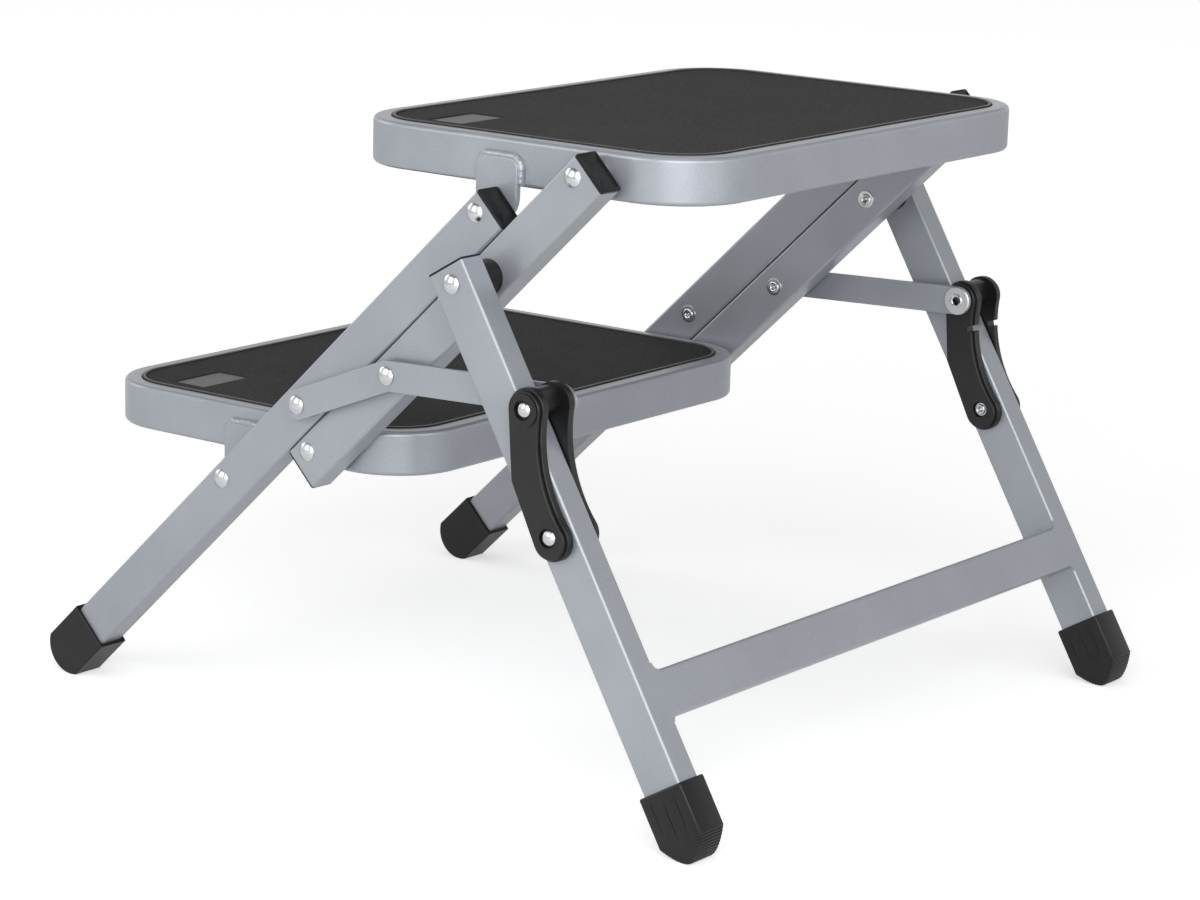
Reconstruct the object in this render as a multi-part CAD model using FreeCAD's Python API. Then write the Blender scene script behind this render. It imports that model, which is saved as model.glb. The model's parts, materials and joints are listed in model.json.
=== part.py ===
import FreeCAD, Part
import math
import os

# Folding caravan step with two treads, in millimetres, standing open on its four feet.
# +Z is up, the low front tread lies towards -Y, and +X is on the right of someone who climbs it.
# The origin is on the floor, midway between the front and rear feet.

Vector = FreeCAD.Vector

# Stance
bar_angle = 44.0                # slope of the front legs and second bars
rear_leg_angle = 59.4           # slope of the rear legs
front_leg_reach = 200.0         # front foot centre to the lower tread's pivot, along the leg
step_pitch = 295.5              # from the lower tread's pivot to the upper one, along the leg

# Tube that the legs, second bars and crossbar are cut from
tube_width = 30.0               # seen from the side
tube_depth = 20.0               # across the step
tube_wall = 1.5
tube_corner = 2.0

# Pivots along the bars
pivot_offset = 5.6              # tread pivots lie above the middle of the bars
bar_gap = 0.6                   # between a front leg and its second bar, open
link_pivot_rise = 96.0          # lower tread's pivot to the link's pivot
rear_pivot_rise = 201.5         # lower tread's pivot to the rear leg's pivot
lock_pin_drop = 91.4            # rear leg's pivot to the locking pin, along the rear leg
crossbar_drop = 281.0           # rear leg's pivot to the middle of the crossbar
top_end = 10.0                  # tube beyond the upper tread's pivots
second_bar_tail = 12.0          # tube below the lower tread's pivot
rear_leg_head = 10.6            # tube above the rear leg's pivot

# Treads
tread_width = 400.0
tread_depth = 281.0
tread_corner = 50.0
lower_rear_overhang = 63.8      # rear edge behind the second bar's pivot
upper_rear_overhang = 74.0
rim_hole_drop = 14.5            # second bar's pivot below the rim's top
rim_height = 30.0
rim_width = 12.0
rim_wall = 1.5
rim_outer_edge = 3.0
rim_inner_edge = 1.5
deck_drop = 3.5                 # deck's top below the rim's top
deck_thickness = 2.0
deck_gap = 0.1                  # weld line around the deck
mat_gap = 1.5                   # open groove between mat and rim
mat_thickness = 3.0
mat_lip_width = 3.0
mat_lip_height = 0.7
mat_edge = 0.3
patch_width = 45.0
patch_depth = 27.0
patch_thickness = 0.6
patch_recess = 1.0
patch_gap = 0.1
patch_from_side = 27.0          # patch to the tread's right edge
patch_from_front = 50.0         # patch to the tread's front edge

# Ears and washers beside the treads
ear_width = 33.0
ear_height = 33.5               # ear's top above the front pivot
ear_corner = 7.0
ear_thickness = 4.0
ear_edge = 0.6
ear_round_rise = 9.0            # centre of the ear's round end above the pivot
washer_radius = 9.0

# Links
link_width = 20.0
link_thickness = 3.0
link_edge = 0.6
link_standoff = 4.5             # link clear of the bars and their rivet heads
link_washer_radius = 8.0
collar_radius = 10.0
collar_thickness = 1.2
collar_rivet_radius = 4.9       # rolled end of the hollow rivet in the collar
collar_rivet_bore = 2.8
rear_spacer_radius = 11.5

# Rivets
rivet_radius = 4.0
rivet_head_radius = 6.25
rivet_head_height = 2.8
rivet_tail_radius = 5.2
rivet_tail_height = 1.8
rivet_bore_radius = 2.3
rivet_bore_depth = 4.0

# Locking levers
cheek_thickness = 8.0
cheek_step = 3.0                # raised part of the cheek's thickness
cheek_inset = 1.6               # raised part set in from the cheek's edge
cheek_edge = 0.8
lever_end_radius = 13.4
lever_toe = 1.8                 # round end beyond the lever's pivot
lever_knee_along = 38.0         # corner of the lever's front edge, from its pivot
lever_knee_out = 21.5
lever_knee_radius = 6.0
lever_waist = 4.8               # hollow rear edge to the line between the two pins
barrel_radius = 5.7             # round web between the cheeks, behind the rear leg
barrel_flare = 11.0             # degrees that the web widens towards the lever's end
barrel_gap = 0.4
lever_boss_radius = 10.6
lever_boss_height = 1.0
lever_head_radius = 5.3         # rivets in the lever are smaller
lever_tail_radius = 4.6
lever_recess_radius = 6.3
lever_recess_depth = 2.0
tail_recess_radius = 5.6
tail_recess_depth = 2.8
notch_drop = 23.5               # notch on the left lever, below its pin
notch_width = 4.0
notch_depth = 4.5

# Feet and caps
foot_wall = 2.5
foot_height = 24.9              # boot's top above the centre of its sole
sole_bulge = 3.0                # rounded sole's radius beyond half the boot's width
foot_edge = 1.2
leg_insert = 6.0                # tube's end beyond the centre of the sole
sole_rib_pitch = 2.4            # rear feet have ribs across the sole
sole_groove_radius = 0.6
foot_groove_pitch = 7.5         # rear feet have grooves down both faces
foot_groove_width = 1.6
foot_groove_depth = 0.5
foot_groove_margin = 5.0        # plain band at the boot's top
foot_groove_length = 25.0       # middle groove
foot_side_groove_length = 19.0
cap_stem = 5.0
cap_thickness = 2.0
thin_cap_thickness = 1.5
cap_edge = 0.7

# Clearances
side_gap = 0.5                  # between an ear or washer and the bar beside it
cheek_gap = 0.4                 # on both sides of a lever's cheek
link_gap = 0.3                  # between a washer and the link or leg that turns on it
head_gap = 0.3                  # under a rivet's head or tail on a piece that turns
bore_gap = 0.05                 # round a rivet in its hole
insert_gap = 0.1                # round a cap or a leg in its socket
overshoot = 1.0                 # cut past a face
tolerance = 0.01                # edges this near a plane lie on it


# Side view: directions and pivots

foot_half_width = tube_width / 2 + foot_wall
foot_radius = foot_half_width + sole_bulge


def along(angle):
    return Vector(0, math.cos(math.radians(angle)), math.sin(math.radians(angle)))


def across(angle):
    return along(angle + 90)


def linkage(front_foot_y):
    bar = along(bar_angle)
    bar_side = across(bar_angle)
    leg = along(-rear_leg_angle)
    leg_side = across(-rear_leg_angle)
    tread_reach = along(bar_angle / 2) * ((tube_width + bar_gap) / math.sin(math.radians(bar_angle / 2)))
    pin_offset = tube_width / 2 + barrel_gap + barrel_radius
    p = {"front_foot": Vector(0, front_foot_y, foot_radius)}
    p["front_low"] = p["front_foot"] + bar * front_leg_reach + bar_side * pivot_offset
    p["front_high"] = p["front_low"] + bar * step_pitch
    p["link_front"] = p["front_low"] + bar * link_pivot_rise - bar_side * pivot_offset
    p["second_low"] = p["front_low"] + tread_reach
    p["second_high"] = p["front_high"] + tread_reach
    p["link_rear"] = p["link_front"] + tread_reach
    p["rear_pivot"] = p["second_low"] + bar * rear_pivot_rise - bar_side * pivot_offset
    p["lock_pin"] = p["rear_pivot"] + leg * lock_pin_drop + leg_side * pin_offset
    # The pin lies against the leg's rear face twice: standing, and folded with the leg beside the bar.
    arm = p["lock_pin"] - p["link_rear"]
    folded_reach = math.sqrt(arm.Length ** 2 - pin_offset ** 2)
    lever_drop = (lock_pin_drop + rear_pivot_rise - link_pivot_rise + folded_reach) / 2
    p["lever_pivot"] = p["rear_pivot"] + leg * lever_drop
    rear_reach = (p["rear_pivot"].z - foot_radius) / math.sin(math.radians(rear_leg_angle))
    p["rear_foot"] = p["rear_pivot"] + leg * rear_reach
    return p


pivots = linkage(-linkage(0)["rear_foot"].y / 2)

# Layers across the step, from its middle plane outwards
tread_side = tread_width / 2
bar_inner = tread_side + ear_thickness + side_gap
bar_outer = bar_inner + tube_depth
link_inner = bar_outer + link_standoff
link_outer = link_inner + link_thickness
cheek_inner = link_outer + cheek_gap
leg_inner = cheek_inner + cheek_thickness + cheek_gap
leg_outer = leg_inner + tube_depth
cheek_outer = leg_outer + cheek_gap + cheek_thickness


# Shapes that several pieces share

def edges_along(shape, axis):
    return [e for e in shape.Edges if abs(e.tangentAt(e.FirstParameter).dot(axis)) > 0.99]


def lies_at(low, high, place):
    return max(abs(low - place), abs(high - place)) < tolerance


def edges_at(shape, place):
    return [e for e in shape.Edges if lies_at(e.BoundBox.XMin, e.BoundBox.XMax, place)]


def rounded_bar(length, width, depth, corner):
    bar = Part.makeBox(depth, length, width, Vector(0, 0, -width / 2))
    return bar.makeFillet(corner, edges_along(bar, Vector(0, 1, 0)))


def tube(length):
    inner_width = tube_width - 2 * tube_wall
    inner_depth = tube_depth - 2 * tube_wall
    bore = rounded_bar(length, inner_width, inner_depth, tube_corner - tube_wall)
    bore.translate(Vector(tube_wall, 0, 0))
    return rounded_bar(length, tube_width, tube_depth, tube_corner).cut(bore)


def lay(shape, inner, origin, angle):
    shape.rotate(Vector(0, 0, 0), Vector(1, 0, 0), angle)
    shape.translate(origin + Vector(inner, 0, 0))
    return shape


def cylinder(point, radius, start, end):
    return Part.makeCylinder(radius, end - start, Vector(start, point.y, point.z), Vector(1, 0, 0))


def drill(shape, points):
    box = shape.BoundBox
    for point in points:
        hole = cylinder(point, rivet_radius + bore_gap, box.XMin - overshoot, box.XMax + overshoot)
        shape = shape.cut(hole)
    return shape


def washer(point, radius, start, end):
    return cylinder(point, radius, start, end).cut(cylinder(point, rivet_radius + bore_gap, start, end))


def rivet(point, tail, head, head_radius=rivet_head_radius, tail_radius=rivet_tail_radius):
    inner = tail - rivet_tail_height
    dome = (head_radius ** 2 + rivet_head_height ** 2) / (2 * rivet_head_height)
    half_turn = math.asin(head_radius / dome) / 2
    crown = Vector(head + rivet_head_height, 0, 0)
    shoulder = Vector(crown.x - dome + dome * math.cos(half_turn), dome * math.sin(half_turn), 0)
    rim = Vector(head, head_radius, 0)
    outline = Part.makePolygon([
        crown,
        Vector(inner + rivet_bore_depth, 0, 0),
        Vector(inner + rivet_bore_depth, rivet_bore_radius, 0),
        Vector(inner, rivet_bore_radius, 0),
        Vector(inner, tail_radius, 0),
        Vector(tail, tail_radius, 0),
        Vector(tail, rivet_radius, 0),
        Vector(head, rivet_radius, 0),
        rim,
    ])
    profile = Part.Wire(outline.Edges + [Part.Arc(rim, shoulder, crown).toShape()])
    solid = Part.Face(profile).revolve(Vector(0, 0, 0), Vector(1, 0, 0), 360)
    solid.translate(Vector(0, point.y, point.z))
    return solid


def mirrored(shape):
    return shape.mirror(Vector(0, 0, 0), Vector(1, 0, 0))


def save(name, shape):
    shape.exportStep("parts/" + name + ".step")


def save_pair(name, shape):
    save(name + "_right", shape)
    save(name + "_left", mirrored(shape))


def save_group(name, shapes):
    save(name, Part.makeCompound(shapes + [mirrored(shape) for shape in shapes]))


# Legs, bars and crossbar

def front_leg():
    start = pivots["front_foot"] - along(bar_angle) * leg_insert
    leg = lay(tube(leg_insert + front_leg_reach + step_pitch + top_end), bar_inner, start, bar_angle)
    return drill(leg, [pivots["front_low"], pivots["front_high"], pivots["link_front"]])


def second_bar_end(pivot, length):
    return pivots[pivot] + along(bar_angle) * length - across(bar_angle) * pivot_offset


def second_bar():
    start = second_bar_end("second_low", -second_bar_tail)
    bar = lay(tube(second_bar_tail + step_pitch + top_end), bar_inner, start, bar_angle)
    holes = ("second_low", "second_high", "link_rear", "rear_pivot")
    return drill(bar, [pivots[hole] for hole in holes])


def rear_leg():
    top = pivots["rear_pivot"] - along(-rear_leg_angle) * rear_leg_head
    length = (pivots["rear_foot"] - top).Length + leg_insert
    leg = lay(tube(length), leg_inner, top, -rear_leg_angle)
    return drill(leg, [pivots["rear_pivot"], pivots["lever_pivot"]])


def crossbar():
    bar = tube(2 * leg_inner)
    bar.translate(Vector(-tube_depth / 2, -leg_inner, 0))
    bar.rotate(Vector(0, 0, 0), Vector(0, 0, 1), 90)
    bar.rotate(Vector(0, 0, 0), Vector(1, 0, 0), 90)
    bar.translate(Vector(0, 0, (tube_width - tube_depth) / 2))
    middle = pivots["rear_pivot"] + along(-rear_leg_angle) * crossbar_drop
    return lay(bar, 0, middle, -rear_leg_angle)


def foot(centre, inner, leg_direction):
    depth = tube_depth + 2 * foot_wall
    drop = math.sqrt(foot_radius ** 2 - foot_half_width ** 2)
    heel = Vector(0, -drop, -foot_half_width)
    toe = Vector(0, -drop, foot_half_width)
    top_front = Vector(0, foot_height, foot_half_width)
    top_rear = Vector(0, foot_height, -foot_half_width)
    sides = Part.makePolygon([toe, top_front, top_rear, heel])
    sole = Part.Arc(heel, Vector(0, -foot_radius, 0), toe).toShape()
    boot = Part.Face(Part.Wire(sides.Edges + [sole])).extrude(Vector(depth, 0, 0))
    boot = boot.makeFillet(foot_edge, edges_at(boot, 0) + edges_at(boot, depth))
    socket_width = tube_width + 2 * insert_gap
    socket_depth = tube_depth + 2 * insert_gap
    socket = rounded_bar(foot_height + leg_insert, socket_width, socket_depth, tube_corner)
    socket.translate(Vector(foot_wall - insert_gap, -leg_insert, 0))
    return lay(boot.cut(socket), inner - foot_wall, centre, leg_direction)


def rear_foot():
    centre = pivots["rear_foot"]
    leg_direction = 180 - rear_leg_angle
    boot = foot(centre, leg_inner, leg_direction)
    inner_face = leg_inner - foot_wall
    outer_face = leg_outer + foot_wall
    # The ribs are set out from the floor, so that one of them stands on it.
    sole_half_angle = math.degrees(math.asin(foot_half_width / foot_radius))
    rib_angle = math.degrees(sole_rib_pitch / foot_radius)
    rib_count = int(sole_half_angle / rib_angle)
    for count in range(-2 * rib_count, 2 * rib_count):
        turn = (count + 0.5) * rib_angle
        if abs(turn - 90 + rear_leg_angle) < sole_half_angle - rib_angle / 2:
            groove_centre = centre + along(turn - 90) * foot_radius
            boot = boot.cut(cylinder(groove_centre, sole_groove_radius, inner_face, outer_face))
    top = foot_height - foot_groove_margin
    lengths = {-1: foot_side_groove_length, 0: foot_groove_length, 1: foot_side_groove_length}
    for count, length in lengths.items():
        for face in (inner_face, outer_face - foot_groove_depth):
            groove = Part.makeBox(foot_groove_depth, length, foot_groove_width)
            groove.translate(Vector(0, top - length, count * foot_groove_pitch - foot_groove_width / 2))
            boot = boot.cut(lay(groove, face, centre, leg_direction))
    return boot


def cap(end, inner, outward, thickness):
    flange = rounded_bar(thickness, tube_width, tube_depth, tube_corner)
    outer_edges = [e for e in flange.Edges if e.BoundBox.YMin > thickness - tolerance]
    flange = flange.makeFillet(min(cap_edge, thickness / 2), outer_edges)
    wall = tube_wall + insert_gap
    stem = rounded_bar(cap_stem, tube_width - 2 * wall, tube_depth - 2 * wall, tube_corner - tube_wall)
    stem.translate(Vector(wall, -cap_stem, 0))
    return lay(flange.fuse(stem).removeSplitter(), inner, end, outward)


# Treads

def plate(inset, bottom, thickness):
    width = tread_width - 2 * inset
    depth = tread_depth - 2 * inset
    blank = Part.makeBox(width, depth, thickness, Vector(-width / 2, inset, bottom))
    return blank.makeFillet(tread_corner - inset, edges_along(blank, Vector(0, 0, 1)))


def level_edges(shape, height, inset):
    reach = tread_side - inset + tolerance
    level = [e for e in shape.Edges if lies_at(e.BoundBox.ZMin, e.BoundBox.ZMax, height)]
    return [e for e in level if max(-e.BoundBox.XMin, e.BoundBox.XMax) < reach]


def tread_rim(second_pivot):
    block = plate(0, 0, rim_height)
    block = block.makeFillet(rim_outer_edge, level_edges(block, 0, 0) + level_edges(block, rim_height, 0))
    ring = block.cut(plate(rim_width, 0, rim_height))
    inner_edges = level_edges(ring, 0, rim_width) + level_edges(ring, rim_height, rim_width)
    ring = ring.makeFillet(rim_inner_edge, inner_edges)
    inside = rim_height - 2 * rim_wall
    bore = plate(rim_wall, rim_wall, inside).cut(plate(rim_width - rim_wall, rim_wall, inside))
    return drill(ring.cut(bore), [second_pivot])


def tread_deck():
    return plate(rim_width + deck_gap, rim_height - deck_drop - deck_thickness, deck_thickness)


def patch_blank(gap, bottom, height):
    right = tread_side - patch_from_side + gap
    width = patch_width + 2 * gap
    depth = patch_depth + 2 * gap
    return Part.makeBox(width, depth, height, Vector(right - width, patch_from_front - gap, bottom))


def tread_mat():
    bottom = rim_height - deck_drop
    edge = rim_width + mat_gap
    field_top = bottom + mat_thickness
    mat = plate(edge, bottom, mat_thickness + mat_lip_height)
    mat = mat.cut(plate(edge + mat_lip_width, field_top, mat_lip_height))
    mat = mat.makeFillet(mat_edge, level_edges(mat, field_top + mat_lip_height, edge))
    return mat.cut(patch_blank(patch_gap, field_top - patch_recess, patch_recess))


def mat_patch():
    return patch_blank(0, rim_height - deck_drop + mat_thickness - patch_recess, patch_thickness)


def tread_ear(pivot):
    half = ear_width / 2
    turn = ear_corner * (1 - math.sqrt(0.5))
    side = ear_height - ear_corner
    rise = [Vector(0, half, ear_round_rise), Vector(0, half, side)]
    top = [Vector(0, half - ear_corner, ear_height), Vector(0, ear_corner - half, ear_height)]
    fall = [Vector(0, -half, side), Vector(0, -half, ear_round_rise)]
    edges = [
        Part.makeLine(rise[0], rise[1]),
        Part.Arc(rise[1], Vector(0, half - turn, ear_height - turn), top[0]).toShape(),
        Part.makeLine(top[0], top[1]),
        Part.Arc(top[1], Vector(0, turn - half, ear_height - turn), fall[0]).toShape(),
        Part.makeLine(fall[0], fall[1]),
        Part.Arc(fall[1], Vector(0, 0, ear_round_rise - half), rise[0]).toShape(),
    ]
    ear = Part.Face(Part.Wire(edges)).extrude(Vector(ear_thickness, 0, 0))
    ear = ear.makeFillet(ear_edge, edges_at(ear, ear_thickness))
    ear.translate(Vector(tread_side, pivot.y, pivot.z))
    return drill(ear, [pivot])


def save_tread(name, front_pivot, second_pivot, rear_overhang):
    front_edge = second_pivot.y + rear_overhang - tread_depth
    rim_bottom = second_pivot.z + rim_hole_drop - rim_height
    corner = Vector(0, front_edge, rim_bottom)
    rim_pivot = second_pivot - corner
    flat_pieces = {
        "_rim": tread_rim(rim_pivot),
        "_deck": tread_deck(),
        "_mat": tread_mat(),
        "_mat_patch": mat_patch(),
    }
    for piece, shape in flat_pieces.items():
        shape.translate(corner)
        save(name + piece, shape)
    save_pair(name + "_ear", tread_ear(front_pivot))
    spacer = washer(second_pivot, washer_radius, tread_side, tread_side + ear_thickness)
    save_group(name + "_spacers", [spacer])


# Links

def slot(start, end, width, inner, outer):
    run = end - start
    bar = Part.makeBox(outer - inner, run.Length, width, Vector(0, 0, -width / 2))
    lay(bar, inner, start, math.degrees(math.atan2(run.z, run.y)))
    return bar.fuse([cylinder(start, width / 2, inner, outer), cylinder(end, width / 2, inner, outer)])


def link():
    low = slot(pivots["link_front"], pivots["link_rear"], link_width, link_inner, link_outer)
    arm = slot(pivots["link_rear"], pivots["lock_pin"], link_width, link_inner, link_outer)
    bent = low.fuse(arm).removeSplitter()
    bent = bent.makeFillet(link_edge, edges_at(bent, link_inner) + edges_at(bent, link_outer))
    return drill(bent, [pivots["link_front"], pivots["link_rear"], pivots["lock_pin"]])


def link_end_rivet():
    pin = pivots["lock_pin"]
    face = link_inner - collar_thickness
    shank = cylinder(pin, rivet_radius, face - rivet_tail_height / 2, link_outer)
    rolled = cylinder(pin, collar_rivet_radius, face - rivet_tail_height / 2, face)
    bore = cylinder(pin, collar_rivet_bore, face - rivet_tail_height, link_outer + overshoot)
    return shank.fuse(rolled).cut(bore)


# Locking levers, drawn from the lever's pivot along +Y to its pin

def arc(centre, radius, start, end):
    angles = (start, (start + end) / 2, end)
    return Part.Arc(*[centre + along(angle) * radius for angle in angles]).toShape()


def heading(vector):
    return math.degrees(math.atan2(vector.z, vector.y))


def bend(before, corner, after, radius):
    back = (before - corner).normalize()
    ahead = (after - corner).normalize()
    half = back.getAngle(ahead) / 2
    centre = corner + (back + ahead).normalize() * (radius / math.sin(half))
    start = corner + back * (radius / math.tan(half))
    end = corner + ahead * (radius / math.tan(half))
    middle = centre + (corner - centre).normalize() * radius
    return [Part.makeLine(before, start), Part.Arc(start, middle, end).toShape(), Part.makeLine(end, after)]


def lever_outline(length):
    foot_end = Vector(0, -lever_toe, 0)
    pin_end = Vector(0, length, 0)
    knee = Vector(0, lever_knee_along, lever_knee_out)
    half = (length + lever_toe) / 2
    hollow = (half ** 2 + lever_waist ** 2 - lever_end_radius ** 2) / (2 * (lever_end_radius - lever_waist))
    hollow_centre = Vector(0, length - half, -lever_waist - hollow)
    to_knee_foot = knee - foot_end
    to_knee_pin = knee - pin_end
    foot_touch = heading(to_knee_foot) + math.degrees(math.acos(lever_end_radius / to_knee_foot.Length))
    pin_touch = heading(to_knee_pin) - math.degrees(math.acos(lever_end_radius / to_knee_pin.Length))
    pin_turn = heading(hollow_centre - pin_end)
    foot_turn = heading(hollow_centre - foot_end)
    edges = [
        arc(pin_end, lever_end_radius, pin_touch, pin_turn),
        arc(hollow_centre, hollow, pin_turn + 180, foot_turn + 180),
        arc(foot_end, lever_end_radius, foot_turn, foot_touch - 360),
    ]
    foot_corner = foot_end + along(foot_touch) * lever_end_radius
    pin_corner = pin_end + along(pin_touch) * lever_end_radius
    return Part.Wire(edges + bend(foot_corner, knee, pin_corner, lever_knee_radius))


def lever_cheek(length, leg_face, side):
    face = Part.Face(lever_outline(length))
    shoulder = side * (cheek_thickness - cheek_step)
    base = face.extrude(Vector(shoulder, 0, 0))
    base = base.makeFillet(cheek_edge, edges_at(base, shoulder))
    raised = face.makeOffset2D(-cheek_inset).extrude(Vector(side * cheek_step, 0, 0))
    raised = raised.makeFillet(cheek_edge, edges_at(raised, side * cheek_step))
    raised.translate(Vector(shoulder, 0, 0))
    cheek = base.fuse(raised).removeSplitter()
    cheek.translate(Vector(leg_face, 0, 0))
    return cheek


def lever(notched):
    length = (pivots["lock_pin"] - pivots["lever_pivot"]).Length
    pin = Vector(0, length, 0)
    foot_end = Vector(0, 0, 0)
    inner_face = cheek_inner + cheek_thickness
    outer_face = leg_outer + cheek_gap
    body = lever_cheek(length, inner_face, -1).fuse(lever_cheek(length, outer_face, 1))
    reach = lever_end_radius
    flare = barrel_radius + reach * math.tan(math.radians(barrel_flare))
    corners = [
        Vector(inner_face, length, -barrel_radius),
        Vector(inner_face, length + reach, -flare),
        Vector(inner_face, length + reach, flare),
        Vector(inner_face, length, barrel_radius),
    ]
    across_leg = Vector(outer_face - inner_face, 0, 0)
    web = Part.Face(Part.makePolygon(corners + corners[:1])).extrude(across_leg)
    web = web.common(cylinder(pin, lever_end_radius - cheek_inset, inner_face, outer_face))
    body = body.fuse(web).fuse(cylinder(pin, barrel_radius, inner_face, outer_face))
    boss_top = cheek_outer + lever_boss_height
    body = body.fuse(cylinder(pin, lever_boss_radius, cheek_outer, boss_top)).removeSplitter()
    body = body.cut(cylinder(pin, lever_recess_radius, boss_top - lever_recess_depth, boss_top))
    body = body.cut(cylinder(foot_end, lever_recess_radius, cheek_outer - lever_recess_depth, cheek_outer))
    body = body.cut(cylinder(foot_end, tail_recess_radius, cheek_inner, cheek_inner + tail_recess_depth))
    body = drill(body, [pin, foot_end])
    if notched:
        cutter = Part.makeBox(cheek_outer - cheek_inner, notch_width, 2 * lever_end_radius)
        rear_edge = -lever_waist - (lever_end_radius - lever_waist) * (1 - 2 * notch_drop / length) ** 2
        notch_floor = rear_edge + notch_depth
        cutter.translate(Vector(cheek_inner, length - notch_drop, notch_floor - 2 * lever_end_radius))
        body = body.cut(cutter)
    tilt = heading(pivots["lock_pin"] - pivots["lever_pivot"])
    return lay(body, 0, pivots["lever_pivot"], tilt)


def lever_pin():
    pin = pivots["lock_pin"]
    seat = cheek_outer + lever_boss_height - lever_recess_depth
    whole = rivet(pin, cheek_inner, seat, lever_head_radius, lever_tail_radius)
    head_end = seat + rivet_head_height + overshoot
    return whole.common(cylinder(pin, lever_head_radius + overshoot, cheek_inner, head_end))


# The whole step

os.makedirs("parts", exist_ok=True)

save_pair("front_leg", front_leg())
save_pair("second_bar", second_bar())
save_pair("rear_leg", rear_leg())
save("crossbar", crossbar())

save_pair("front_foot", foot(pivots["front_foot"], bar_inner, bar_angle))
save_pair("rear_foot", rear_foot())

front_leg_top = pivots["front_foot"] + along(bar_angle) * (front_leg_reach + step_pitch + top_end)
rear_leg_top = pivots["rear_pivot"] - along(-rear_leg_angle) * rear_leg_head
save_pair("front_leg_cap", cap(front_leg_top, bar_inner, bar_angle, cap_thickness))
second_bar_top = second_bar_end("second_high", top_end)
second_bar_low = second_bar_end("second_low", -second_bar_tail)
save_pair("second_bar_top_cap", cap(second_bar_top, bar_inner, bar_angle, cap_thickness))
save_pair("second_bar_low_cap", cap(second_bar_low, bar_inner, bar_angle + 180, thin_cap_thickness))
save_pair("rear_leg_cap", cap(rear_leg_top, leg_inner, 180 - rear_leg_angle, thin_cap_thickness))

save_tread("lower_tread", pivots["front_low"], pivots["second_low"], lower_rear_overhang)
save_tread("upper_tread", pivots["front_high"], pivots["second_high"], upper_rear_overhang)

save_pair("link", link())
collar_start = link_inner - collar_thickness
save_group("link_end_collars", [washer(pivots["lock_pin"], collar_radius, collar_start, link_inner)])
save_group("link_end_rivets", [link_end_rivet()])
save("lever_right", lever(False))
save("lever_left", mirrored(lever(True)))
save_pair("lever_pin", lever_pin())

ear_tail = tread_side - head_gap
rim_tail = tread_side - rim_width - head_gap
link_head = link_outer + head_gap
front_pivots = [pivots["front_low"], pivots["front_high"]]
second_pivots = [pivots["second_low"], pivots["second_high"]]
save_group("front_leg_rivets", [rivet(point, ear_tail, bar_outer) for point in front_pivots])
save_group("second_bar_rivets", [rivet(point, rim_tail, bar_outer) for point in second_pivots])
save_group("link_front_rivets", [rivet(pivots["link_front"], bar_inner, link_head)])
save_group("link_rear_rivets", [rivet(pivots["link_rear"], bar_inner, link_head)])
save_group("rear_leg_rivets", [rivet(pivots["rear_pivot"], bar_inner, leg_outer + head_gap)])
lever_tail = cheek_inner + tail_recess_depth - head_gap
lever_head = cheek_outer - lever_recess_depth + head_gap
lever_rivet = rivet(pivots["lever_pivot"], lever_tail, lever_head, lever_head_radius, lever_tail_radius)
save_group("lever_rivets", [lever_rivet])

washer_end = link_inner - link_gap
bush_end = leg_inner - link_gap
save_group("link_front_spacers", [washer(pivots["link_front"], link_washer_radius, bar_outer, washer_end)])
save_group("link_rear_spacers", [washer(pivots["link_rear"], link_washer_radius, bar_outer, washer_end)])
save_group("rear_leg_spacers", [washer(pivots["rear_pivot"], rear_spacer_radius, bar_outer, bush_end)])

for name, point in pivots.items():
    print(name, round(point.y, 4), round(point.z, 4))
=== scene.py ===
import json
import math
import bpy
import bmesh
from mathutils import Matrix, Vector


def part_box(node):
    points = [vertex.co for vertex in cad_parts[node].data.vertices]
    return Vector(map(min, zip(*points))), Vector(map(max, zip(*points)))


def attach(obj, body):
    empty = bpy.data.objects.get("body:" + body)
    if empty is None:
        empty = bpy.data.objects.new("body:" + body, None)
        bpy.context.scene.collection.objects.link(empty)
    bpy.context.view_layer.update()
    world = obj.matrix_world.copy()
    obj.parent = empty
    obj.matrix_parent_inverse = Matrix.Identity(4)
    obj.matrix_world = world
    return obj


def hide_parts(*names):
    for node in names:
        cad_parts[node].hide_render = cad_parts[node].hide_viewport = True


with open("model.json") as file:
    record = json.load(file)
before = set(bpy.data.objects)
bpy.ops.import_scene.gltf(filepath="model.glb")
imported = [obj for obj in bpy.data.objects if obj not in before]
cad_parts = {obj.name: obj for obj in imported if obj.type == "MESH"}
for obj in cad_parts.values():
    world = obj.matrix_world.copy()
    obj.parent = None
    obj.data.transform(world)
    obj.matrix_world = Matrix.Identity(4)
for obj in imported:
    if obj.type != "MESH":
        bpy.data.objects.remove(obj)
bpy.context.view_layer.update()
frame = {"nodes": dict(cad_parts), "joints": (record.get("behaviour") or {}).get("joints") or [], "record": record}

nodes = frame["nodes"]
scene = bpy.context.scene
mm = 0.001
both, left, right = (1, -1), (-1,), (1,)  # the sides that a piece is made on


def linear(hexCode):  # sRGB hex to linear colour
    parts = [int(hexCode[i:i + 2], 16) / 255 for i in (1, 3, 5)]
    return [p / 12.92 if p <= 0.04045 else ((p + 0.055) / 1.055) ** 2.4 for p in parts] + [1.0]


def addNode(tree, kind, inputs=None, **settings):  # settings first, then values and links by socket
    node = tree.nodes.new(kind)
    for name, value in settings.items():
        setattr(node, name, value)
    for socket, value in (inputs or {}).items():
        if isinstance(value, bpy.types.NodeSocket):
            tree.links.new(value, node.inputs[socket])
        else:
            node.inputs[socket].default_value = value
    return node


def newMaterial(name):
    material = bpy.data.materials.new(name)
    material.use_nodes = True
    material.node_tree.nodes.clear()
    return material, material.node_tree


def perMetre(sizeInMm):  # texture scale for features of a real size
    return 1.0 / (sizeInMm * mm)


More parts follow.
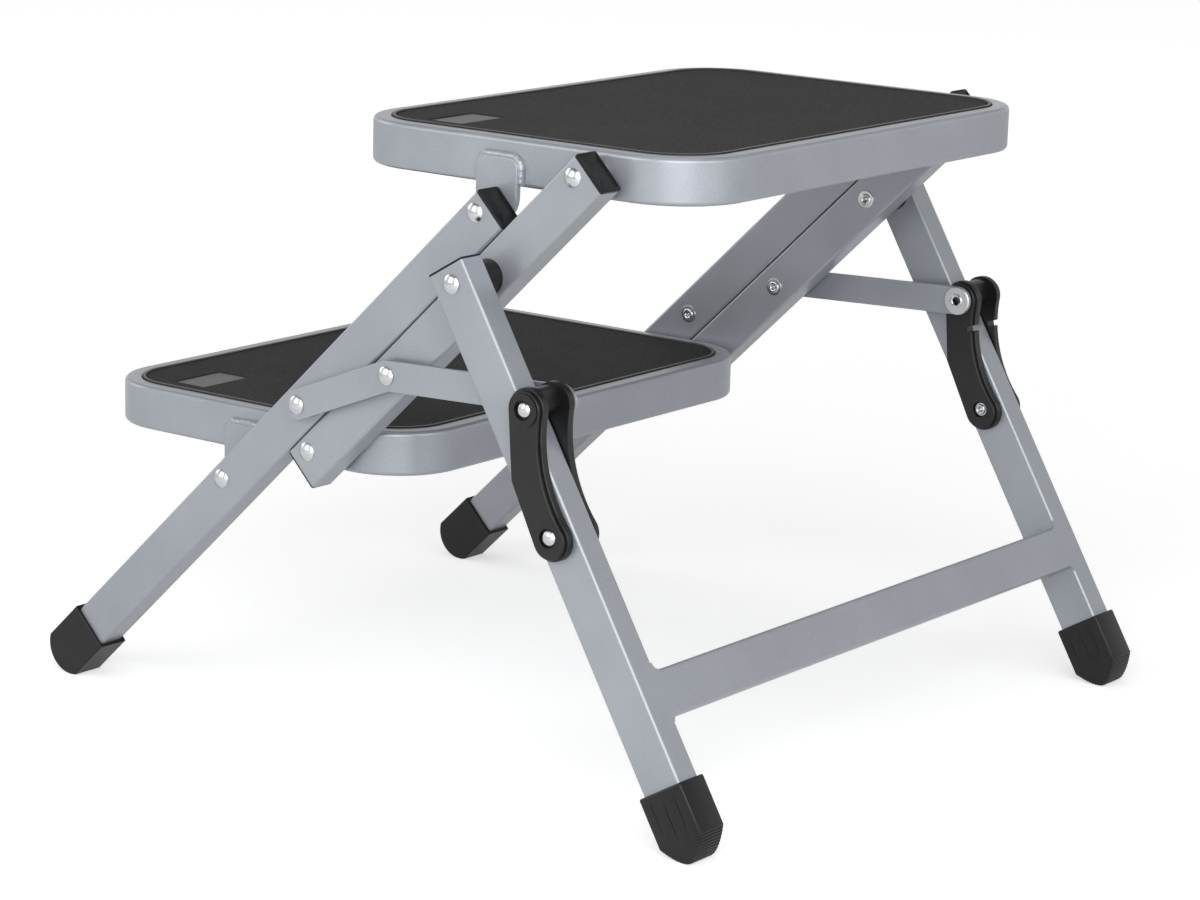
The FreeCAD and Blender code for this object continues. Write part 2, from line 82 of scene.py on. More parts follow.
def finishMaterial(tree, shader):
    addNode(tree, "ShaderNodeOutputMaterial", {"Surface": shader.outputs[0]})


# Silver lacquer with aluminium flake, sprayed on steel tube: an even grey, a soft sheen, faint orange peel.
# The flake is drawn coarser than real, so that it shows.
silverLacquer = {"light": "#9EA2A9", "dark": "#92969D", "flakeMm": 1.1, "peelMm": 3.0, "cloudMm": 60.0,
                 "roughness": 0.34, "metallic": 0.4, "coat": 0.12, "coatRoughness": 0.22,
                 "peel": 0.12, "peelDepthMm": 0.05}


def makeSilverLacquer(look):
    material, tree = newMaterial("silver_lacquer")
    place = addNode(tree, "ShaderNodeTexCoord").outputs["Object"]
    flake = addNode(tree, "ShaderNodeTexNoise", {
        "Vector": place, "Scale": perMetre(look["flakeMm"]), "Detail": 2.0})
    cloud = addNode(tree, "ShaderNodeTexNoise", {
        "Vector": place, "Scale": perMetre(look["cloudMm"]), "Detail": 3.0})
    blend = addNode(tree, "ShaderNodeMath", {
        0: flake.outputs["Fac"], 1: cloud.outputs["Fac"]}, operation="ADD")
    spread = addNode(tree, "ShaderNodeMapRange", {
        "Value": blend.outputs[0], "From Min": 0.7, "From Max": 1.3})
    colour = addNode(tree, "ShaderNodeMix", {
        0: spread.outputs[0], 6: linear(look["dark"]), 7: linear(look["light"])}, data_type="RGBA")
    gloss = addNode(tree, "ShaderNodeMapRange", {
        "Value": cloud.outputs["Fac"], "From Min": 0.3, "From Max": 0.7,
        "To Min": look["roughness"] - 0.05, "To Max": look["roughness"] + 0.06})
    peel = addNode(tree, "ShaderNodeTexNoise", {
        "Vector": place, "Scale": perMetre(look["peelMm"]), "Detail": 1.0})
    bump = addNode(tree, "ShaderNodeBump", {
        "Height": peel.outputs["Fac"], "Strength": look["peel"], "Distance": look["peelDepthMm"] * mm})
    shader = addNode(tree, "ShaderNodeBsdfPrincipled", {
        "Base Color": colour.outputs[2], "Metallic": look["metallic"], "Roughness": gloss.outputs[0],
        "Coat Weight": look["coat"], "Coat Roughness": look["coatRoughness"], "Normal": bump.outputs[0]})
    finishMaterial(tree, shader)
    return material


# Rolled rubber mat: matt black with a fine pebble grain, dusty in patches, smoother along its lip, with a painted
# highlight in a paler colour on the lip's crest.
# The pebbles are drawn coarser than real, so that they show.
# the pale lip colour is a painted highlight along the crest, not a colour of the rubber
matRubber = {"dark": "#292929", "light": "#393938", "lipHighlightAndPolish": "#5E5D5B", "grainMm": 1.1, "dustMm": 70.0,
             "roughness": 0.7, "wornRoughness": 0.42, "shine": 0.2, "grain": 0.4, "grainDepthMm": 0.2}


def makeMatRubber(look):
    material, tree = newMaterial("rolled_rubber_mat")
    place = addNode(tree, "ShaderNodeTexCoord").outputs["Object"]
    grain = addNode(tree, "ShaderNodeTexVoronoi", {"Vector": place, "Scale": perMetre(look["grainMm"])})
    dust = addNode(tree, "ShaderNodeTexNoise", {
        "Vector": place, "Scale": perMetre(look["dustMm"]), "Detail": 4.0})
    speck = addNode(tree, "ShaderNodeSeparateColor", {0: grain.outputs["Color"]})
    blend = addNode(tree, "ShaderNodeMath", {0: dust.outputs["Fac"], 1: speck.outputs[0]}, operation="ADD")
    tone = addNode(tree, "ShaderNodeMapRange", {
        "Value": blend.outputs[0], "From Min": 0.5, "From Max": 1.5})
    colour = addNode(tree, "ShaderNodeMix", {
        0: tone.outputs[0], 6: linear(look["dark"]), 7: linear(look["light"])}, data_type="RGBA")
    gloss = addNode(tree, "ShaderNodeMapRange", {
        "Value": grain.outputs["Distance"], "From Max": 0.7,
        "To Min": look["roughness"] - 0.08, "To Max": look["roughness"] + 0.12})
    # painted highlight on the lip: a paler colour and a lower roughness where the per-point mask is high
    edge = addNode(tree, "ShaderNodeAttribute", attribute_name="lipHighlightAndPolish").outputs["Fac"]
    highlighted = addNode(tree, "ShaderNodeMix", {
        0: edge, 6: colour.outputs[2], 7: linear(look["lipHighlightAndPolish"])}, data_type="RGBA")
    polish = addNode(tree, "ShaderNodeMix", {0: edge, 2: gloss.outputs[0], 3: look["wornRoughness"]})
    bump = addNode(tree, "ShaderNodeBump", {
        "Height": grain.outputs["Distance"], "Strength": look["grain"],
        "Distance": look["grainDepthMm"] * mm}, invert=True)
    shader = addNode(tree, "ShaderNodeBsdfPrincipled", {
        "Base Color": highlighted.outputs[2], "Roughness": polish.outputs[0],
        "Specular IOR Level": look["shine"], "Normal": bump.outputs[0]})
    finishMaterial(tree, shader)
    return material


# Mouldings: soft PVC boots are black with a dull grain, filled nylon levers have a coarser grain and a low
# sheen, polythene plugs are smooth and dark, and the vinyl patch is an even matt grey.
# Their grain is drawn coarser than real, so that it shows.
mouldings = {
    "pvc_boot": {"dark": "#0B0B0C", "light": "#161618", "grainMm": 1.2, "roughness": 0.34,
                 "grain": 0.6, "shine": 0.36},
    "nylon_lever": {"dark": "#0B0B0C", "light": "#161617", "grainMm": 1.4, "roughness": 0.34,
                    "grain": 0.9, "shine": 0.4},
    "polythene_plug": {"dark": "#0D0D0E", "light": "#151516", "grainMm": 1.2, "roughness": 0.34,
                       "grain": 0.12, "shine": 0.24},
    "vinyl_patch": {"dark": "#5F5E5D", "light": "#686765", "grainMm": 0.7, "roughness": 0.5,
                    "grain": 0.15, "shine": 0.42},
}
mouldingSurface = {"cloudMm": 25.0, "grainDepthMm": 0.08}  # what all of them share


def makeMoulding(name, look):
    material, tree = newMaterial(name)
    place = addNode(tree, "ShaderNodeTexCoord").outputs["Object"]
    grain = addNode(tree, "ShaderNodeTexNoise", {
        "Vector": place, "Scale": perMetre(look["grainMm"]), "Detail": 3.0})
    cloud = addNode(tree, "ShaderNodeTexNoise", {
        "Vector": place, "Scale": perMetre(mouldingSurface["cloudMm"]), "Detail": 2.0})
    speck = addNode(tree, "ShaderNodeMath", {
        0: grain.outputs["Fac"], 1: cloud.outputs["Fac"]}, operation="ADD")
    tone = addNode(tree, "ShaderNodeMapRange", {
        "Value": speck.outputs[0], "From Min": 0.7, "From Max": 1.3})
    colour = addNode(tree, "ShaderNodeMix", {
        0: tone.outputs[0], 6: linear(look["dark"]), 7: linear(look["light"])}, data_type="RGBA")
    gloss = addNode(tree, "ShaderNodeMapRange", {
        "Value": grain.outputs["Fac"], "From Min": 0.3, "From Max": 0.7,
        "To Min": look["roughness"] - 0.04, "To Max": look["roughness"] + 0.1})
    bump = addNode(tree, "ShaderNodeBump", {
        "Height": grain.outputs["Fac"], "Strength": look["grain"],
        "Distance": mouldingSurface["grainDepthMm"] * mm})
    shader = addNode(tree, "ShaderNodeBsdfPrincipled", {
        "Base Color": colour.outputs[2], "Roughness": gloss.outputs[0],
        "Specular IOR Level": look["shine"], "Normal": bump.outputs[0]})
    finishMaterial(tree, shader)
    return material


# Bare metals: formed aluminium rivets are bright, zinc plate on steel is duller and mottled
bareMetals = {
    "aluminium_rivet": {"dark": "#B9BBBE", "light": "#D2D4D6", "markMm": 4.0, "roughness": 0.235},
    "zinc_plate": {"dark": "#B9BBBC", "light": "#DCDEDF", "markMm": 2.0, "roughness": 0.38},
}
metalMarks = {"bump": 0.05, "depthMm": 0.05}  # what both share


def makeBareMetal(name, look):
    material, tree = newMaterial(name)
    place = addNode(tree, "ShaderNodeTexCoord").outputs["Object"]
    mark = addNode(tree, "ShaderNodeTexNoise", {
        "Vector": place, "Scale": perMetre(look["markMm"]), "Detail": 4.0})
    colour = addNode(tree, "ShaderNodeMix", {
        0: mark.outputs["Fac"], 6: linear(look["dark"]), 7: linear(look["light"])}, data_type="RGBA")
    gloss = addNode(tree, "ShaderNodeMapRange", {
        "Value": mark.outputs["Fac"], "From Min": 0.3, "From Max": 0.7,
        "To Min": look["roughness"] - 0.03, "To Max": look["roughness"] + 0.03})
    bump = addNode(tree, "ShaderNodeBump", {
        "Height": mark.outputs["Fac"], "Strength": metalMarks["bump"],
        "Distance": metalMarks["depthMm"] * mm})
    shader = addNode(tree, "ShaderNodeBsdfPrincipled", {
        "Base Color": colour.outputs[2], "Metallic": 1.0, "Roughness": gloss.outputs[0],
        "Normal": bump.outputs[0]})
    finishMaterial(tree, shader)
    return material


finishes = {"silver_paint": makeSilverLacquer(silverLacquer), "mat_rubber": makeMatRubber(matRubber)}
slotMouldings = {"foot_rubber": "pvc_boot", "black_plastic": "polythene_plug", "grey_patch": "vinyl_patch"}
for slotName, name in slotMouldings.items():
    finishes[slotName] = makeMoulding(name, mouldings[name])
leverNylon = makeMoulding("nylon_lever", mouldings["nylon_lever"])
slotMetals = {"rivet_metal": "aluminium_rivet", "plated_steel": "zinc_plate"}
for slotName, name in slotMetals.items():
    finishes[slotName] = makeBareMetal(name, bareMetals[name])
print("materials made:", len(finishes) + 1)

for subpart in frame["record"]["subparts"]:
    piece = nodes[subpart["node"]]
    piece.data.materials.clear()
    isLever = subpart["node"] in ("lever_left", "lever_right")
    piece.data.materials.append(leverNylon if isLever else finishes[subpart["material_slot"]])
print("nodes finished:", len(nodes))

# Places from the frame, in mm: pivots in the side view (y, z), the line of the rear legs, the rims' boxes
pivotJoints = {"frontLow": "lower_tread_fold", "frontHigh": "tread_fold", "secondHigh": "second_bar_swing",
               "linkFront": "link_swing", "rearPivot": "rear_leg_fold", "leverPivot": "left_lever_turn"}
jointPlaces = {joint["name"]: joint["pos_m"] for joint in frame["joints"]}
pivots = {name: Vector(jointPlaces[joint][1:]) / mm for name, joint in pivotJoints.items()}
barStep = pivots["secondHigh"] - pivots["frontHigh"]  # the second bars run beside the front legs
pivots["secondLow"] = pivots["frontLow"] + barStep
pivots["linkRear"] = pivots["linkFront"] + barStep
pivots["lockPin"] = sum(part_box("link_end_collars"), Vector()).yz / 2 / mm
legDown = (pivots["leverPivot"] - pivots["rearPivot"]).normalized()
legBack = Vector((-legDown.y, legDown.x))
treadPivots = {"upper_tread": "frontHigh", "lower_tread": "frontLow"}
rims = {body: [Vector(corner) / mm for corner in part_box(body + "_rim")] for body in treadPivots}


def onLeg(x, down, out):  # a place on a rear leg: down from its top pivot and out to the rear, in mm
    spot = pivots["rearPivot"] + legDown * down + legBack * out
    return (x * mm, spot.x * mm, spot.y * mm)


def newTree(name, inputs):  # a node tree with named inputs, and the sockets they come out of
    tree = bpy.data.node_groups.new(name, "GeometryNodeTree")
    tree.interface.new_socket("Geometry", in_out="INPUT", socket_type="NodeSocketGeometry")
    for label, kind in inputs.items():
        tree.interface.new_socket(label, in_out="INPUT", socket_type=kind)
    tree.interface.new_socket("Geometry", in_out="OUTPUT", socket_type="NodeSocketGeometry")
    return tree, addNode(tree, "NodeGroupInput").outputs


def endTree(tree, geometry, material):
    real = addNode(tree, "GeometryNodeRealizeInstances", {0: geometry})
    dressed = addNode(tree, "GeometryNodeSetMaterial", {"Geometry": real.outputs[0], "Material": material})
    addNode(tree, "NodeGroupOutput", {0: dressed.outputs[0]})


def newPiece(name, points, edges=(), faces=()):
    mesh = bpy.data.meshes.new(name)
    mesh.from_pydata(points, edges, faces)
    piece = bpy.data.objects.new(name, mesh)
    scene.collection.objects.link(piece)
    return piece


def shapePiece(name, shape):  # an edited mesh becomes a piece
    piece = newPiece(name, [])
    shape.to_mesh(piece.data)
    shape.free()
    return piece


def grow(piece, tree, values):  # run the node tree once and keep its result as one mesh
    modifier = piece.modifiers.new(tree.name, "NODES")
    modifier.node_group = tree
    for socket in tree.interface.items_tree:
        if socket.in_out == "INPUT" and socket.name in values:
            modifier[socket.identifier] = values[socket.name]
    mesh = bpy.data.meshes.new_from_object(piece.evaluated_get(bpy.context.evaluated_depsgraph_get()))
    piece.modifiers.clear()
    piece.data = mesh


def smooth(piece, angle):
    piece.data.shade_smooth()
    piece.data.set_sharp_from_angle(angle=math.radians(angle))


def settle(piece, body, replaced=()):  # its body and the nodes it stands for
    if replaced:
        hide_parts(*replaced)
    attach(piece, body)
    return len(piece.data.polygons)


# Rivets: turned from one outline each, domed outside and rolled over inside
rivet = {"headRadius": 6.25, "headHeight": 2.8, "headRim": 0.4, "shank": 4.0, "tailRadius": 4.3,
         "tailHeight": 1.8, "flangeRadius": 6.4, "flange": 0.8, "flangeRound": 0.3, "flangeSteps": 6,
         "bore": 1.9, "boreDepth": 3.0, "boreTip": 0.6, "steps": 18, "segments": 56}
leverRivet = dict(rivet, headRadius=5.3, tailRadius=3.9, flangeRadius=4.7, flange=0.5, flangeRound=0.2)
rivetFaces = {"front": (199.7, 224.5), "second": (187.7, 224.5), "link": (204.5, 232.3),
              "leg": (204.5, 261.1), "pin": (238.0, 268.2), "lever": (234.9, 267.5)}  # under tail and head


def makeLatheTree():
    tree, given = newTree("turned_outline", {"Segments": "NodeSocketInt", "Material": "NodeSocketMaterial"})
    outline = addNode(tree, "GeometryNodeMeshToCurve", {"Mesh": given["Geometry"]})
    turn = addNode(tree, "GeometryNodeCurvePrimitiveCircle", {
        "Resolution": given["Segments"], "Radius": 1e-7})  # next to no radius: the outline turns on its axis
    swept = addNode(tree, "GeometryNodeCurveToMesh", {
        "Curve": turn.outputs[0], "Profile Curve": outline.outputs[0]})
    centre = addNode(tree, "GeometryNodeInputNamedAttribute", {"Name": "centre"}, data_type="FLOAT_VECTOR")
    side = addNode(tree, "GeometryNodeInputNamedAttribute", {"Name": "side"}, data_type="FLOAT").outputs[0]
    place = addNode(tree, "ShaderNodeSeparateXYZ", {
        0: addNode(tree, "GeometryNodeInputPosition").outputs[0]})
    outward = addNode(tree, "ShaderNodeMath", {0: place.outputs["Z"], 1: side}, operation="MULTIPLY")
    along = addNode(tree, "ShaderNodeMath", {0: place.outputs["X"], 1: side}, operation="MULTIPLY")
    laid = addNode(tree, "ShaderNodeCombineXYZ", {
        "X": outward.outputs[0], "Y": along.outputs[0], "Z": place.outputs["Y"]})
    moved = addNode(tree, "GeometryNodeSetPosition", {
        "Geometry": swept.outputs[0], "Position": laid.outputs[0], "Offset": centre.outputs[0]})
    joined = addNode(tree, "GeometryNodeMergeByDistance", {"Geometry": moved.outputs[0], "Distance": 1e-6})
    endTree(tree, joined.outputs[0], given["Material"])
    return tree


latheTree = makeLatheTree()


def rivetOutline(size, faces, rolled=True):  # (radius, distance from the middle plane), crown first
    tail, head = faces
    rise = size["headHeight"] - size["headRim"]
    dome = (size["headRadius"] ** 2 + rise ** 2) / (2 * rise)
    sweep = math.asin(size["headRadius"] / dome)
    crown = head + size["headHeight"]
    turns = [sweep * i / size["steps"] for i in range(size["steps"] + 1)]
    outline = [(dome * math.sin(turn), crown - dome * (1 - math.cos(turn))) for turn in turns]
    outline += [(size["headRadius"], head), (size["shank"], head), (size["shank"], tail)]
    if not rolled:
        return outline + [(0, tail)]
    bend = size["flangeRound"]
    edge, lip = size["flangeRadius"] - bend, tail - size["flange"] + bend
    outline.append((size["flangeRadius"], tail))
    for i in range(size["flangeSteps"] + 1):  # rounded edge of the washer under the tail
        turn = math.pi / 2 * i / size["flangeSteps"]
        outline.append((edge + bend * math.cos(turn), lip - bend * math.sin(turn)))
    middle = (size["tailRadius"] + size["bore"]) / 2
    half = (size["tailRadius"] - size["bore"]) / 2
    for i in range(size["steps"] + 1):  # rolled tail
        turn = math.pi * i / size["steps"]
        depth = (size["tailHeight"] - size["flange"]) * math.sin(turn)
        outline.append((middle + half * math.cos(turn), tail - size["flange"] - depth))
    floor = tail - size["tailHeight"] + size["boreDepth"]
    return outline + [(size["bore"], floor), (0, floor - size["boreTip"])]


def makeTurned(name, body, slotName, replaced, turned):  # turned: outline, pivot, sides
    points, edges, centres, sides = [], [], [], []
    for outline, pivot, handed in turned:
        for side in handed:
            first = len(points)
            points += [(radius * mm, -out * mm, 0) for radius, out in outline]
            edges += [(first + i, first + i + 1) for i in range(len(outline) - 1)]
            if outline[0][0] > 0:  # a ring with a bore through it
                edges.append((first + len(outline) - 1, first))
            centres += [0, pivots[pivot].x * mm, pivots[pivot].y * mm] * len(outline)
            sides += [side] * len(outline)
    piece = newPiece(name, points, edges)
    piece.data.attributes.new("centre", "FLOAT_VECTOR", "POINT").data.foreach_set("vector", centres)
    piece.data.attributes.new("side", "FLOAT", "POINT").data.foreach_set("value", sides)
    grow(piece, latheTree, {"Segments": rivet["segments"], "Material": finishes[slotName]})
    smooth(piece, angle=40)
    return settle(piece, body, replaced)


frontRivet, secondRivet, linkRivet, legRivet = (
    rivetOutline(rivet, rivetFaces[kind]) for kind in ("front", "second", "link", "leg"))
leverOutline = rivetOutline(leverRivet, rivetFaces["lever"])
pinOutline = rivetOutline(leverRivet, rivetFaces["pin"], rolled=False)
count = makeTurned("front_rivets", "front_frame", "rivet_metal", ["front_leg_rivets", "link_front_rivets"], [
    (frontRivet, "frontLow", both), (frontRivet, "frontHigh", both), (linkRivet, "linkFront", both)])
barRivets = ["second_bar_rivets", "link_rear_rivets", "rear_leg_rivets"]
count += makeTurned("bar_rivets", "second_bars", "rivet_metal", barRivets, [
    (secondRivet, "secondLow", both), (secondRivet, "secondHigh", both), (linkRivet, "linkRear", both),
    (legRivet, "rearPivot", both)])
legRivets = [(leverOutline, "leverPivot", both)]
count += makeTurned("leg_lever_rivets", "rear_frame", "rivet_metal", ["lever_rivets"], legRivets)
for handed, hand in ((left, "left"), (right, "right")):
    pin = [(pinOutline, "lockPin", handed)]
    count += makeTurned("locking_pin_" + hand, "lever_" + hand, "rivet_metal", ["lever_pin_" + hand], pin)
print("rivets turned, faces:", count)

# Link ends: a plated collar with a chamfered rim, held by a rolled hollow eyelet
linkEnd = {"inner": 229.0, "outer": 232.0, "collar": 1.2, "collarRadius": 10.0, "chamfer": 0.5, "hole": 4.05,
           "shank": 4.0, "roll": 4.9, "rollHeight": 0.9, "bore": 2.8, "steps": 12}


def collarOutline(size):
    face = size["inner"] - size["collar"]
    return [(size["hole"], size["inner"]), (size["collarRadius"], size["inner"]),
            (size["collarRadius"], face + size["chamfer"]), (size["collarRadius"] - size["chamfer"], face),
            (size["hole"], face)]


def eyeletOutline(size):
    face = size["inner"] - size["collar"]
    middle, half = (size["roll"] + size["bore"]) / 2, (size["roll"] - size["bore"]) / 2
    outline = [(size["bore"], size["outer"]), (size["shank"], size["outer"]), (size["shank"], face)]
    for i in range(size["steps"] + 1):
        turn = math.pi * i / size["steps"]
        outline.append((middle + half * math.cos(turn), face - size["rollHeight"] * math.sin(turn)))
    return outline


collars = [(collarOutline(linkEnd), "lockPin", both)]
eyelets = [(eyeletOutline(linkEnd), "lockPin", both)]
count = makeTurned("link_collars", "links", "plated_steel", ["link_end_collars"], collars)
count += makeTurned("link_eyelets", "links", "rivet_metal", ["link_end_rivets"], eyelets)
print("link ends turned, faces:", count)

# Rear boots: a domed sole with ribs across it, shallow flutes down both faces and a socket for the leg
rearBoot = {"centreHeight": 20.5, "halfWidth": 17.5, "height": 24.9, "inner": 238.3, "outer": 263.3,
            "crown": 14.5, "bulge": 1.6, "apexRound": 2.5, "steps": 32, "edge": 1.4, "edgeSteps": 4,
            "lip": 1.0, "socketDepth": 30.9, "ribPitch": 2.3, "grooveRadius": 0.75, "grooveOver": 2.0,
            "fluteMargin": 1.5, "fluteWidth": 1.3, "fluteRadius": 1.2, "fluteDepth": 0.9,
            "flutes": {-9.5: 27.0, 0.0: 34.0, 9.5: 29.0}}  # place across the leg: length
bootReach = (pivots["rearPivot"].y - rearBoot["centreHeight"]) / -legDown.y  # down the leg to the centre


def makeCutTree():
    tree, given = newTree("boot_cuts", {
        "Groove Radius": "NodeSocketFloat", "Flute Radius": "NodeSocketFloat",
        "Flute Width": "NodeSocketFloat", "Lean": "NodeSocketFloat", "Material": "NodeSocketMaterial"})
    groove, flute = (
        addNode(tree, "GeometryNodeInputNamedAttribute", {"Name": name}, data_type="FLOAT").outputs[0]
        for name in ("groove", "flute"))
    isGroove = addNode(tree, "FunctionNodeCompare", {0: groove, 1: 0.0}, operation="GREATER_THAN")
    isFlute = addNode(tree, "FunctionNodeCompare", {0: flute, 1: 0.0}, operation="GREATER_THAN")
    grooved = addNode(tree, "GeometryNodeSeparateGeometry", {0: given["Geometry"], 1: isGroove.outputs[0]})
    fluted = addNode(tree, "GeometryNodeSeparateGeometry", {0: grooved.outputs[1], 1: isFlute.outputs[0]})
    rod = addNode(tree, "GeometryNodeMeshCylinder", {
        "Vertices": 14, "Radius": given["Groove Radius"], "Depth": 1.0})
    reach = addNode(tree, "ShaderNodeCombineXYZ", {"X": 1.0, "Y": 1.0, "Z": groove})
    rods = addNode(tree, "GeometryNodeInstanceOnPoints", {
        "Points": grooved.outputs[0], "Instance": rod.outputs[0], "Rotation": (0, math.pi / 2, 0),
        "Scale": reach.outputs[0]})
    pebble = addNode(tree, "GeometryNodeMeshUVSphere", {"Segments": 20, "Rings": 24, "Radius": 0.5})
    deep = addNode(tree, "ShaderNodeMath", {0: given["Flute Radius"], 1: 2.0}, operation="MULTIPLY")
    size = addNode(tree, "ShaderNodeCombineXYZ", {
        "X": deep.outputs[0], "Y": given["Flute Width"], "Z": flute})
    lean = addNode(tree, "ShaderNodeCombineXYZ", {"X": given["Lean"]})
    hollows = addNode(tree, "GeometryNodeInstanceOnPoints", {
        "Points": fluted.outputs[0], "Instance": pebble.outputs[0], "Rotation": lean.outputs[0],
        "Scale": size.outputs[0]})
    cut = addNode(tree, "GeometryNodeMeshBoolean", {0: fluted.outputs[1]},
                  operation="DIFFERENCE", solver="EXACT")
    tree.links.new(rods.outputs[0], cut.inputs[1])
    tree.links.new(hollows.outputs[0], cut.inputs[1])
    endTree(tree, cut.outputs[0], given["Material"])
    return tree


def bootPlace(x, across, down):  # across the leg to the rear, down along it, from the centre of the sole
    return onLeg(x, bootReach + down, across)


def soleDrop(across):  # a dome with a softened crown, zero at both sides
    half, soft = rearBoot["halfWidth"], rearBoot["apexRound"]
    share = (math.hypot(across, soft) - soft) / (math.hypot(half, soft) - soft)
    return rearBoot["crown"] * (1 - share) + 4 * rearBoot["bulge"] * share * (1 - share)


def soleLine():  # points of the sole, resting on the floor
    half, steps = rearBoot["halfWidth"], rearBoot["steps"]
    places = [half - 2 * half * i / steps for i in range(steps + 1)]
    lowest = max(-soleDrop(across) * legDown.y - across * legDown.x for across in places)
    sideEnd = (rearBoot["centreHeight"] - lowest) / -legDown.y
    return [(across, sideEnd + soleDrop(across)) for across in places]


def ribPlaces(line):  # evenly along the sole, clear of both ends
    places, gone, due = [], 0.0, rearBoot["ribPitch"] / 2
    for (a, b), (c, d) in zip(line, line[1:]):
        length = math.hypot(c - a, d - b)
        while gone + length > due:
            share = (due - gone) / length
            places.append((a + (c - a) * share, b + (d - b) * share))
            due += rearBoot["ribPitch"]
        gone += length
    return places[:-1]


def addBoot(shape, side):
    half, top = rearBoot["halfWidth"], -rearBoot["height"]
    outline = [(-half, top), (half, top)] + soleLine()
    walls = [[shape.verts.new(bootPlace(side * x, across, down)) for across, down in outline]
             for x in (rearBoot["inner"], rearBoot["outer"])]
    sides = [shape.faces.new(wall) for wall in walls]
    strips = [shape.faces.new((walls[0][i - 1], walls[0][i], walls[1][i], walls[1][i - 1]))
              for i in [*range(1, len(outline)), 0]]  # the mouth's first
    bmesh.ops.recalc_face_normals(shape, faces=sides + strips)
    edges = {edge for face in sides + strips[:1] for edge in face.edges}
    bmesh.ops.bevel(shape, geom=list(edges), offset=rearBoot["edge"] * mm, segments=rearBoot["edgeSteps"],
                    profile=0.5, affect="EDGES", clamp_overlap=True)
    up = Vector(bootPlace(0, 0, -1)) - Vector(bootPlace(0, 0, 0))
    onSide = [face for face in shape.faces if face.calc_center_median().x * side > 0]
    mouth = max(onSide, key=lambda face: face.normal.dot(up))
    bmesh.ops.inset_region(shape, faces=[mouth], thickness=rearBoot["lip"] * mm)
    socket = bmesh.ops.extrude_discrete_faces(shape, faces=[mouth])["faces"][0]
    bmesh.ops.translate(shape, verts=socket.verts, vec=-up * rearBoot["socketDepth"])


def makeRearBoots():
    shape = bmesh.new()
    groove = shape.verts.layers.float.new("groove")
    flute = shape.verts.layers.float.new("flute")
    for side in both:
        addBoot(shape, side)
    inner, outer = rearBoot["inner"], rearBoot["outer"]
    out = rearBoot["fluteRadius"] - rearBoot["fluteDepth"]
    for side in both:
        for across, down in ribPlaces(soleLine()):
            point = shape.verts.new(bootPlace(side * (inner + outer) / 2, across, down))
            point[groove] = (outer - inner + rearBoot["grooveOver"]) * mm
        for across, length in rearBoot["flutes"].items():
            down = rearBoot["fluteMargin"] + length / 2 - rearBoot["height"]
            for x in (inner - out, outer + out):
                shape.verts.new(bootPlace(side * x, across, down))[flute] = length * mm
    piece = shapePiece("rear_boots", shape)
    grow(piece, makeCutTree(), {
        "Groove Radius": rearBoot["grooveRadius"] * mm, "Flute Radius": rearBoot["fluteRadius"] * mm,
        "Flute Width": rearBoot["fluteWidth"] * mm, "Lean": math.asin(legDown.x),
        "Material": finishes["foot_rubber"]})
    smooth(piece, angle=35)
    return settle(piece, "rear_frame", ["rear_foot_left", "rear_foot_right"])


print("rear boots, faces:", makeRearBoots())

# Top plugs: the CAD shape with a sunk panel inside a narrow border
plug = {"axis": (0.0, 0.7193, 0.6947), "border": 1.4, "slope": 0.3, "depth": 0.25, "square": 0.999,
        "level": 0.01}  # square and level: how closely a face has to match the top


def makePlug(node, body, name):
    shape = bmesh.new()
    shape.from_mesh(nodes[node].data)
    bmesh.ops.remove_doubles(shape, verts=shape.verts, dist=1e-6)
    axis = Vector(plug["axis"])
    reach = max(vertex.co.dot(axis) for vertex in shape.verts) - plug["level"] * mm
    top = [face for face in shape.faces if face.normal.dot(axis) > plug["square"]
           and face.calc_center_median().dot(axis) > reach]
    panel = bmesh.ops.dissolve_faces(shape, faces=top)["region"]
    bmesh.ops.inset_region(shape, faces=panel, thickness=plug["border"] * mm)
    bmesh.ops.inset_region(shape, faces=panel, thickness=plug["slope"] * mm, depth=-plug["depth"] * mm)
    piece = shapePiece(name, shape)
    piece.data.materials.append(finishes["black_plastic"])
    smooth(piece, angle=30)
    return settle(piece, body, [node])


count = 0
for hand in ("left", "right"):
    count += makePlug("front_leg_cap_" + hand, "front_frame", "front_leg_plug_" + hand)
    count += makePlug("second_bar_top_cap_" + hand, "second_bars", "second_bar_plug_" + hand)
print("top plugs, faces:", count)

# Mats: fine ribs across each tread inside a rounded lip, with a hollow for the plain patch
mat = {"inset": 12.4, "overhang": 0.7, "corner": 50.0, "cornerSteps": 16, "lipWidth": 2.9, "lipRound": 0.8,
       "lipSteps": 5, "lipTop": 30.9, "lipFoot": 29.75, "neck": 29.5, "foot": 26.6, "field": 29.5,
       "recess": 28.45, "highlightFalloffOutside": 8, "highlightFalloffInside": 2, "ribPitch": 1.85, "ribWidth": 1.5, "ribTop": 1.2,
       "ribHeight": 0.35, "ribGap": 0.3}


